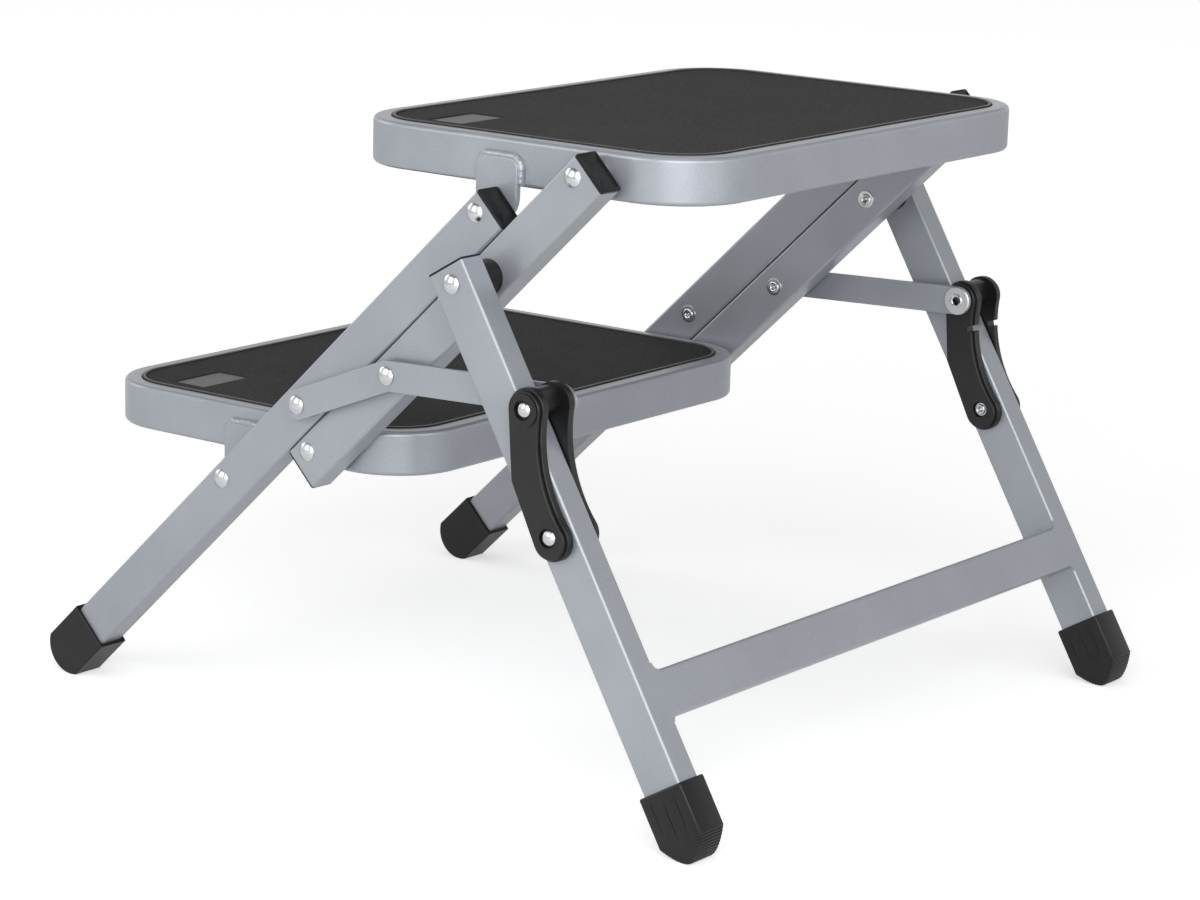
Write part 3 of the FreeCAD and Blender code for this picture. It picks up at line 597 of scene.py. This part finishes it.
def makeRibTree():
    tree, given = newTree("mat_ribs", {
        "Rib Width": "NodeSocketFloat", "Rib Top": "NodeSocketFloat", "Rib Height": "NodeSocketFloat",
        "Material": "NodeSocketMaterial"})
    run = addNode(tree, "GeometryNodeInputNamedAttribute", {"Name": "run"}, data_type="FLOAT").outputs[0]
    isRib = addNode(tree, "FunctionNodeCompare", {0: run, 1: 0.0}, operation="GREATER_THAN")
    parted = addNode(tree, "GeometryNodeSeparateGeometry", {0: given["Geometry"], 1: isRib.outputs[0]})
    line = addNode(tree, "GeometryNodeCurvePrimitiveLine", {"Start": (-0.5, 0, 0), "End": (0.5, 0, 0)})
    section = addNode(tree, "GeometryNodeCurvePrimitiveQuadrilateral", {
        "Bottom Width": given["Rib Width"], "Top Width": given["Rib Top"], "Height": given["Rib Height"],
        "Offset": 0.0}, mode="TRAPEZOID")
    rib = addNode(tree, "GeometryNodeCurveToMesh", {
        "Curve": line.outputs[0], "Profile Curve": section.outputs[0], "Fill Caps": True})
    size = addNode(tree, "ShaderNodeCombineXYZ", {"X": run, "Y": 1.0, "Z": 1.0})
    ribs = addNode(tree, "GeometryNodeInstanceOnPoints", {
        "Points": parted.outputs[0], "Instance": rib.outputs[0], "Scale": size.outputs[0]})
    whole = addNode(tree, "GeometryNodeJoinGeometry")
    tree.links.new(parted.outputs[1], whole.inputs[0])
    tree.links.new(ribs.outputs[0], whole.inputs[0])
    endTree(tree, whole.outputs[0], given["Material"])
    return tree


ribTree = makeRibTree()


def matOutline(low, high, inset):  # rounded rectangle inside the rim's box
    radius, steps = mat["corner"] - inset, mat["cornerSteps"]
    points = []
    for corner, (x, y) in enumerate([(high.x, high.y), (low.x, high.y), (low.x, low.y), (high.x, low.y)]):
        middleX = x - math.copysign(mat["corner"], x - (low.x + high.x) / 2)
        middleY = y - math.copysign(mat["corner"], y - (low.y + high.y) / 2)
        for i in range(steps + 1):
            turn = math.pi / 2 * (corner + i / steps)
            points.append((middleX + radius * math.cos(turn), middleY + radius * math.sin(turn)))
    return points


def lipSection():  # inset, height and painted highlight, from the foot over the crest to the field
    edge, bend, steps = mat["inset"] - mat["overhang"], mat["lipRound"], mat["lipSteps"]
    inside = edge + mat["lipWidth"]
    section = [(mat["inset"], mat["foot"], 0.0), (mat["inset"], mat["neck"], 0.0)]
    section.append((edge, mat["lipFoot"], 0.0))
    bends = [(0, edge + bend, mat["highlightFalloffOutside"]), (1, inside - bend, mat["highlightFalloffInside"])]
    for start, middle, falloff in bends:  # painted highlight and polish on top and inside, none on the outer wall
        for i in range(steps + 1):
            turn = math.pi - math.pi / 2 * (start + i / steps)
            height = mat["lipTop"] - bend + bend * math.sin(turn)
            section.append((middle + bend * math.cos(turn), height, math.sin(turn) ** falloff))
    return section + [(inside, mat["field"], 0.0)]


def ribRuns(low, high, patchLow, patchHigh):  # each rib's middle and length, parted by the patch
    inset = mat["inset"] - mat["overhang"] + mat["lipWidth"]
    radius, half, gap = mat["corner"] - inset, mat["ribWidth"] / 2, mat["ribGap"]
    middle, depth = (low.y + high.y) / 2, high.y - low.y
    count = math.floor((depth - 2 * inset - mat["ribWidth"]) / mat["ribPitch"])
    runs = []
    for i in range(count + 1):
        y = middle + (i - count / 2) * mat["ribPitch"]
        past = max(0.0, abs(y - middle) + half - depth / 2 + mat["corner"])  # into the round corner
        reach = inset + radius - math.sqrt(max(0.0, radius ** 2 - past ** 2)) + gap
        ends = [low.x + reach, high.x - reach]
        if patchLow.y - half < y < patchHigh.y + half:
            ends[1:1] = [patchLow.x - gap, patchHigh.x + gap]
        runs += [((a + b) / 2, y, b - a) for a, b in zip(ends[::2], ends[1::2])]
    return runs


def bridge(shape, lower, upper):  # a strip of faces between two rings
    for i in range(len(lower)):
        j = (i + 1) % len(lower)
        shape.faces.new((lower[i], lower[j], upper[j], upper[i]))


def fillBetween(shape, border, hole):  # a flat face with a hole in it
    edges = [shape.edges.get((ring[i - 1], ring[i])) for ring in (border, hole) for i in range(len(ring))]
    bmesh.ops.triangle_fill(shape, edges=edges, use_beauty=True)


def makeMat(body):
    low, high = rims[body]
    patchLow, patchHigh = (Vector(corner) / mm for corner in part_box(body + "_mat_patch"))
    shape = bmesh.new()
    # per point: how much painted highlight and polish the lip's crest gets
    lipHighlightAndPolish = shape.verts.layers.float.new("lipHighlightAndPolish")
    run = shape.verts.layers.float.new("run")
    rings = []
    for inset, height, lipLight in lipSection():
        level = (low.z + height) * mm
        rings.append([shape.verts.new((x * mm, y * mm, level)) for x, y in matOutline(low, high, inset)])
        for vertex in rings[-1]:
            vertex[lipHighlightAndPolish] = lipLight
    for lower, upper in zip(rings, rings[1:]):
        bridge(shape, lower, upper)
    shape.faces.new(list(reversed(rings[0])))
    corners = [(patchLow.x, patchLow.y), (patchHigh.x, patchLow.y),
               (patchHigh.x, patchHigh.y), (patchLow.x, patchHigh.y)]
    brink, bottom = ([shape.verts.new((x * mm, y * mm, (low.z + height) * mm)) for x, y in corners]
                     for height in (mat["field"], mat["recess"]))
    bridge(shape, brink, bottom)
    shape.faces.new(bottom)
    fillBetween(shape, rings[-1], brink)
    bmesh.ops.recalc_face_normals(shape, faces=shape.faces)
    level = (low.z + mat["field"] + mat["ribHeight"] / 2) * mm
    for x, y, length in ribRuns(low, high, patchLow, patchHigh):
        shape.verts.new((x * mm, y * mm, level))[run] = length * mm
    piece = shapePiece(body + "_ribbed_mat", shape)
    grow(piece, ribTree, {
        "Rib Width": mat["ribWidth"] * mm, "Rib Top": mat["ribTop"] * mm,
        "Rib Height": mat["ribHeight"] * mm, "Material": finishes["mat_rubber"]})
    smooth(piece, angle=35)
    return settle(piece, body, [body + "_mat"])


print("mats, faces:", makeMat("upper_tread") + makeMat("lower_tread"))

# Ears: plates with a rounded lower end, their edges softened by the paint
ear = {"half": 16.5, "height": 33.5, "corner": 7.0, "roundRise": 9.0, "inner": 200.0, "thickness": 4.0,
       "edge": 1.0, "edgeSteps": 6, "hole": 4.1, "holeSteps": 32, "steps": 12}


def earOutline(inset):  # rear top corner, front top corner, round lower end
    half, corner, steps = ear["half"] - inset, ear["corner"] - inset, ear["steps"]
    middle, top = ear["half"] - ear["corner"], ear["height"] - ear["corner"]
    turns = [math.pi / 2 * i / steps for i in range(steps + 1)]
    points = [(middle + corner * math.cos(turn), top + corner * math.sin(turn)) for turn in turns]
    points += [(-y, z) for y, z in reversed(points)]
    lower = [(-half * math.cos(2 * turn), ear["roundRise"] - half * math.sin(2 * turn)) for turn in turns]
    return points + lower


def addEar(shape, side, pivot):
    outer, edge = ear["inner"] + ear["thickness"], ear["edge"]
    section = [(0.0, ear["inner"]), (0.0, outer - edge)]
    for i in range(1, ear["edgeSteps"] + 1):
        turn = math.pi / 2 * i / ear["edgeSteps"]
        section.append((edge * (1 - math.cos(turn)), outer - edge * (1 - math.sin(turn))))
    turns = [2 * math.pi * i / ear["holeSteps"] for i in range(ear["holeSteps"])]
    circle = [(ear["hole"] * math.cos(turn), ear["hole"] * math.sin(turn)) for turn in turns]
    loops = [(earOutline(inset), x) for inset, x in section] + [(circle, outer), (circle, ear["inner"])]
    rings = [[shape.verts.new((side * x * mm, (pivot.x + y) * mm, (pivot.y + z) * mm)) for y, z in points]
             for points, x in loops]
    front, frontHole, rearHole = rings[-3:]
    for lower, upper in zip(rings, rings[1:-2]):
        bridge(shape, lower, upper)
    bridge(shape, frontHole, rearHole)
    fillBetween(shape, front, frontHole)
    fillBetween(shape, rings[0], rearHole)


def makeEars(body):
    shape = bmesh.new()
    for side in both:
        addEar(shape, side, pivots[treadPivots[body]])
    bmesh.ops.recalc_face_normals(shape, faces=shape.faces)
    piece = shapePiece(body + "_ears", shape)
    piece.data.materials.append(finishes["silver_paint"])
    smooth(piece, angle=35)
    return settle(piece, body, [body + "_ear_left", body + "_ear_right"])


print("ears, faces:", sum(makeEars(body) for body in treadPivots))

# Welds: a bead along the top and rear of each ear and short stitches under the decks, painted over
weld = {"radiusMm": 2.2, "spacingMm": 0.6, "uneven": 0.15, "lumpMm": 4.5, "voxelMm": 0.35, "seed": 7}
earWeld = {"out": 0.5, "foot": 18.8, "steps": 8,  # out: from the ear's edge to the bead's middle
           "front": (1.6, -0.3), "crest": (3.1, 0.6), "rear": (3.4, 0.4)}  # radius, height of the middle
deckWeld = {"stitchMm": 22.0, "deckUnder": 24.5, "dropMm": 1.0, "sideSpread": 70.0, "endSpread": 105.0}


def makeBeadTree():
    tree, given = newTree("weld_bead", {
        "Spacing": "NodeSocketFloat", "Bead Radius": "NodeSocketFloat", "Unevenness": "NodeSocketFloat",
        "Lump Scale": "NodeSocketFloat", "Voxel": "NodeSocketFloat", "Seed": "NodeSocketInt",
        "Material": "NodeSocketMaterial"})
    line = addNode(tree, "GeometryNodeMeshToCurve", {"Mesh": given["Geometry"]})
    drops = addNode(tree, "GeometryNodeResampleCurve", {
        "Curve": line.outputs[0], "Length": given["Spacing"]}, mode="LENGTH")
    low = addNode(tree, "ShaderNodeMath", {0: 1.0, 1: given["Unevenness"]}, operation="SUBTRACT")
    high = addNode(tree, "ShaderNodeMath", {0: 1.0, 1: given["Unevenness"]}, operation="ADD")
    lumps = addNode(tree, "ShaderNodeTexNoise", {
        "Scale": given["Lump Scale"], "W": given["Seed"]}, noise_dimensions="4D")
    swell = addNode(tree, "ShaderNodeMapRange", {
        "Value": lumps.outputs["Fac"], "From Min": 0.3, "From Max": 0.7,
        "To Min": low.outputs[0], "To Max": high.outputs[0]})
    share = addNode(tree, "GeometryNodeInputNamedAttribute", {"Name": "share"}, data_type="FLOAT")
    bead = addNode(tree, "ShaderNodeMath", {
        0: share.outputs[0], 1: given["Bead Radius"]}, operation="MULTIPLY")
    size = addNode(tree, "ShaderNodeMath", {0: swell.outputs[0], 1: bead.outputs[0]}, operation="MULTIPLY")
    ball = addNode(tree, "GeometryNodeMeshIcoSphere", {"Radius": 1.0, "Subdivisions": 3})
    row = addNode(tree, "GeometryNodeInstanceOnPoints", {
        "Points": drops.outputs[0], "Instance": ball.outputs[0], "Scale": size.outputs[0]})
    solid = addNode(tree, "GeometryNodeRealizeInstances", {0: row.outputs[0]})
    melt = addNode(tree, "GeometryNodeMeshToVolume", {
        "Mesh": solid.outputs[0], "Voxel Size": given["Voxel"],
        "Interior Band Width": given["Bead Radius"]}, resolution_mode="VOXEL_SIZE")
    skin = addNode(tree, "GeometryNodeVolumeToMesh", {"Volume": melt.outputs[0]})
    soft = addNode(tree, "GeometryNodeSetShadeSmooth", {0: skin.outputs[0]})
    endTree(tree, soft.outputs[0], given["Material"])
    return tree


beadTree = makeBeadTree()


def earPath(side, pivot):  # up the rear edge, over the top and round the front corner
    out, steps = earWeld["out"], earWeld["steps"]
    half, top, corner = ear["half"] + out, ear["height"] + out, ear["corner"] + out
    quarter = [(half, earWeld["foot"], 0.0)]
    for i in range(steps + 1):
        turn = math.pi / 2 * i / steps
        y, z = half - corner + corner * math.cos(turn), top - corner + corner * math.sin(turn)
        quarter.append((y, z, i / steps))
    path = []
    for end, sign in (("rear", 1), ("front", -1)):
        for y, z, share in quarter[::sign]:
            radius, height = (a + (b - a) * share for a, b in zip(earWeld[end], earWeld["crest"]))
            x = side * (ear["inner"] + height)
            place = (x * mm, (pivot.x + sign * y) * mm, (pivot.y + z) * mm)
            path.append((place, radius / weld["radiusMm"]))
    return path


def stitchPaths(low, high):  # two along each side of the deck, three along its front and rear
    level = (low.z + deckWeld["deckUnder"] - deckWeld["dropMm"]) * mm
    edge, stitch = high.x - mat["inset"], deckWeld["stitchMm"] / 2
    front, rear = low.y + mat["inset"], high.y - mat["inset"]
    middle, spread = (front + rear) / 2, deckWeld["sideSpread"]
    paths = []
    for side in (-1, 1):
        for y in (middle - spread, middle + spread):
            paths.append([((side * edge * mm, (y + end) * mm, level), 1.0) for end in (-stitch, stitch)])
    for x in (-deckWeld["endSpread"], 0, deckWeld["endSpread"]):
        for y in (front, rear):
            paths.append([(((x + end) * mm, y * mm, level), 1.0) for end in (-stitch, stitch)])
    return paths


def makeTreadWelds(body):
    points, edges, shares = [], [], []
    paths = [earPath(side, pivots[treadPivots[body]]) for side in both] + stitchPaths(*rims[body])
    for path in paths:
        first = len(points)
        points += [place for place, share in path]
        shares += [share for place, share in path]
        edges += [(first + i, first + i + 1) for i in range(len(path) - 1)]
    piece = newPiece(body + "_welds", points, edges)
    piece.data.attributes.new("share", "FLOAT", "POINT").data.foreach_set("value", shares)
    grow(piece, beadTree, {
        "Spacing": weld["spacingMm"] * mm, "Bead Radius": weld["radiusMm"] * mm,
        "Unevenness": weld["uneven"], "Lump Scale": perMetre(weld["lumpMm"]),
        "Voxel": weld["voxelMm"] * mm, "Seed": weld["seed"], "Material": finishes["silver_paint"]})
    return settle(piece, body)


print("tread welds, faces:", sum(makeTreadWelds(body) for body in treadPivots))

# Crossbar welds: a hollow fillet round three sides of each end, and the rear face ground flush
barWeld = {"legFace": 240.8, "middle": 281.0, "width": 30.0, "front": -5.0, "rear": 15.0, "fillet": 3.4,
           "topFillet": 5.0, "lowFillet": 3.5, "plate": 2.6, "overlap": 2.0, "proud": 0.03, "tuck": 0.3,
           "lump": 0.12, "lumpTurns": (2.1, 0.7), "sideSteps": 16, "frontSteps": 24, "arcSteps": 8}


def barPlace(side, across, along, out):  # across from the leg's face, along the leg, out from its middle
    return onLeg(side * (barWeld["legFace"] - across), barWeld["middle"] + along, out)


def plateOutline():  # the ground plate in the rear face: a hollow curve above and below the bar
    half, top, low = barWeld["width"] / 2, barWeld["topFillet"], barWeld["lowFillet"]
    turns = [math.pi / 2 * i / barWeld["arcSteps"] for i in range(barWeld["arcSteps"] + 1)]
    flat = [(-barWeld["overlap"], -half - top)]
    flat += [(top - top * math.cos(turn), -half - top + top * math.sin(turn)) for turn in turns]
    flat += [(low - low * math.sin(turn), half + low - low * math.cos(turn)) for turn in turns]
    return flat + [(-barWeld["overlap"], half + low)]


def addPlate(points, faces, side):
    flat = plateOutline()
    first, total = len(points), len(flat)
    for out in (barWeld["rear"] + barWeld["proud"], barWeld["rear"] - barWeld["plate"]):
        points += [barPlace(side, across, along, out) for across, along in flat]
    faces.append([first + i for i in range(total)])
    faces.append([first + total + i for i in reversed(range(total))])
    for i in range(total):
        j = (i + 1) % total
        faces.append([first + i, first + total + i, first + total + j, first + j])


def filletRun():  # round the bar: along and out, and the way that the fillet faces
    half, front = barWeld["width"] / 2, barWeld["front"]
    sideSteps, frontSteps = barWeld["sideSteps"], barWeld["frontSteps"]
    depth = barWeld["rear"] - barWeld["plate"] / 2 - front
    rises = [depth * i / sideSteps for i in range(sideSteps + 1)]
    run = [(-half, front + rise, -1, 0) for rise in reversed(rises)]
    run += [(-half + 2 * half * i / frontSteps, front, 0, -1) for i in range(frontSteps + 1)]
    return run + [(half, front + rise, 1, 0) for rise in rises]


def addFillet(points, faces, side):
    run, steps, tuck = filletRun(), barWeld["arcSteps"], barWeld["tuck"]
    fast, slow = barWeld["lumpTurns"]
    first, row = len(points), steps + 2
    for place, (along, out, leanAlong, leanOut) in enumerate(run):
        lump = barWeld["lump"] * math.sin(place * fast) * math.sin(place * slow + side)
        size = barWeld["fillet"] * (1 + lump)
        for i in range(steps + 1):
            turn = math.pi / 2 * i / steps
            lift, across = size * (1 - math.sin(turn)), size * (1 - math.cos(turn))
            points.append(barPlace(side, across, along + leanAlong * lift, out + leanOut * lift))
        points.append(barPlace(side, -tuck, along - leanAlong * tuck, out - leanOut * tuck))
    for place in range(len(run) - 1):
        a, b = first + place * row, first + (place + 1) * row
        faces += [[a + i, b + i, b + (i + 1) % row, a + (i + 1) % row] for i in range(row)]
    last = first + (len(run) - 1) * row
    faces.append([first + i for i in reversed(range(row))])
    faces.append([last + i for i in range(row)])


def makeBarWelds():
    points, faces = [], []
    for side in both:
        addPlate(points, faces, side)
        addFillet(points, faces, side)
    piece = newPiece("crossbar_welds", points, (), faces)
    turned = bmesh.new()
    turned.from_mesh(piece.data)
    bmesh.ops.recalc_face_normals(turned, faces=turned.faces)
    turned.to_mesh(piece.data)
    turned.free()
    piece.data.materials.append(finishes["silver_paint"])
    smooth(piece, angle=35)
    return settle(piece, "rear_frame")


print("crossbar welds, faces:", makeBarWelds())

# Studio: pale floor that lightens away from the object, white surroundings, soft boxes
studio = {"floorSize": 40.0, "floorColour": "#EDEDED", "floorGlow": 0.5, "farGlow": 0.8, "nearM": 0.5,
          "farM": 2.5, "mirroredGlow": 0.5, "ambient": 0.45, "ceiling": 0.25, "wallTop": 0.12,
          "ceilingFrom": 0.75}
softBoxes = [
    {"name": "keyBox", "place": (1.75, 1.45, 1.1), "size": 2.0, "power": 44.0},
    {"name": "sideBox", "place": (2.0, -0.7, 1.2), "size": 1.2, "power": 14.0},
    {"name": "rearBox", "place": (0.3, 2.5, 1.0), "size": 1.4, "power": 12.0},
    {"name": "topBox", "place": (0.0, 0.0, 2.5), "size": 1.6, "power": 8.0},
    {"name": "frontBox", "place": (0.6, -2.5, 1.4), "size": 1.4, "power": 10.0},
]
aim = Vector((0, 0, 0.2))  # where the boxes point


def makeFloor(look):
    half = look["floorSize"] / 2
    corners = [(-half, -half, 0), (half, -half, 0), (half, half, 0), (-half, half, 0)]
    floor = newPiece("studio_floor", corners, (), [(0, 1, 2, 3)])
    material, tree = newMaterial("pale_floor")
    path = addNode(tree, "ShaderNodeLightPath")
    matt = addNode(tree, "ShaderNodeBsdfDiffuse", {"Color": linear(look["floorColour"])})
    spot = addNode(tree, "ShaderNodeTexCoord").outputs["Object"]
    far = addNode(tree, "ShaderNodeVectorMath", {0: spot}, operation="LENGTH")
    level = addNode(tree, "ShaderNodeMapRange", {
        "Value": far.outputs["Value"], "From Min": look["nearM"], "From Max": look["farM"],
        "To Min": look["floorGlow"], "To Max": look["farGlow"]})
    mirrored = addNode(tree, "ShaderNodeMath", {
        0: path.outputs["Is Glossy Ray"], 1: look["mirroredGlow"]}, operation="MULTIPLY")
    seen = addNode(tree, "ShaderNodeMath", {
        0: path.outputs["Is Camera Ray"], 1: mirrored.outputs[0]}, operation="MAXIMUM")
    lift = addNode(tree, "ShaderNodeMath", {0: seen.outputs[0], 1: level.outputs[0]}, operation="MULTIPLY")
    glow = addNode(tree, "ShaderNodeEmission", {"Color": (1, 1, 1, 1), "Strength": lift.outputs[0]})
    added = addNode(tree, "ShaderNodeAddShader", {0: matt.outputs[0], 1: glow.outputs[0]})
    finishMaterial(tree, added)
    floor.data.materials.append(material)


def makeWorld(look):  # white where it is seen, dimmer as a lamp
    world = bpy.data.worlds.new("white_studio")
    scene.world = world
    world.use_nodes = True
    tree = world.node_tree
    tree.nodes.clear()
    path = addNode(tree, "ShaderNodeLightPath")
    direct = addNode(tree, "ShaderNodeMath", {
        0: path.outputs["Is Camera Ray"], 1: path.outputs["Is Glossy Ray"]}, operation="MAXIMUM")
    seen = addNode(tree, "ShaderNodeMath", {
        0: direct.outputs[0], 1: path.outputs["Is Transmission Ray"]}, operation="MAXIMUM")
    level = addNode(tree, "ShaderNodeMapRange", {
        "Value": seen.outputs[0], "To Min": look["ambient"], "To Max": 1.0})
    height = addNode(tree, "ShaderNodeSeparateXYZ", {
        0: addNode(tree, "ShaderNodeTexCoord").outputs["Generated"]})
    dome = addNode(tree, "ShaderNodeMapRange", {
        "Value": height.outputs["Z"], "From Min": look["wallTop"], "From Max": look["ceilingFrom"],
        "To Min": 1.0, "To Max": look["ceiling"]})
    strength = addNode(tree, "ShaderNodeMath", {
        0: level.outputs[0], 1: dome.outputs[0]}, operation="MULTIPLY")
    back = addNode(tree, "ShaderNodeBackground", {"Color": (1, 1, 1, 1), "Strength": strength.outputs[0]})
    addNode(tree, "ShaderNodeOutputWorld", {"Surface": back.outputs[0]})


def makeSoftBox(box):
    lamp = bpy.data.lights.new(box["name"], "AREA")
    lamp.shape = "SQUARE"
    lamp.size = box["size"]
    lamp.energy = box["power"]
    holder = bpy.data.objects.new(box["name"], lamp)
    holder.location = box["place"]
    holder.rotation_euler = (aim - Vector(box["place"])).to_track_quat("-Z", "Y").to_euler()
    scene.collection.objects.link(holder)


makeFloor(studio)
makeWorld(studio)
for box in softBoxes:
    makeSoftBox(box)

# Camera from the right and behind, a long lens, slightly rolled
camera = {"azimuth": 126.77, "elevation": 13.09, "roll": 1.575, "lens": 110.16,
          "place": (1.9799, 1.4927, 0.7436)}


def makeCamera(view):
    azimuth, elevation, roll = (math.radians(view[k]) for k in ("azimuth", "elevation", "roll"))
    away = math.cos(elevation)
    back = Vector((math.sin(azimuth) * away, -math.cos(azimuth) * away, math.sin(elevation)))
    level = Vector((0, 0, 1)).cross(back).normalized()
    upright = back.cross(level)
    right = level * math.cos(roll) + upright * math.sin(roll)
    up = upright * math.cos(roll) - level * math.sin(roll)
    lens = bpy.data.cameras.new("photo_camera")
    lens.lens = view["lens"]
    lens.sensor_width = 36.0
    lens.sensor_fit = "HORIZONTAL"
    lens.clip_end = 100.0
    holder = bpy.data.objects.new("photo_camera", lens)
    holder.matrix_world = Matrix.Translation(view["place"]) @ Matrix((right, up, back)).transposed().to_4x4()
    scene.collection.objects.link(holder)
    scene.camera = holder


makeCamera(camera)
scene.view_settings.view_transform = "Standard"
print("studio ready")
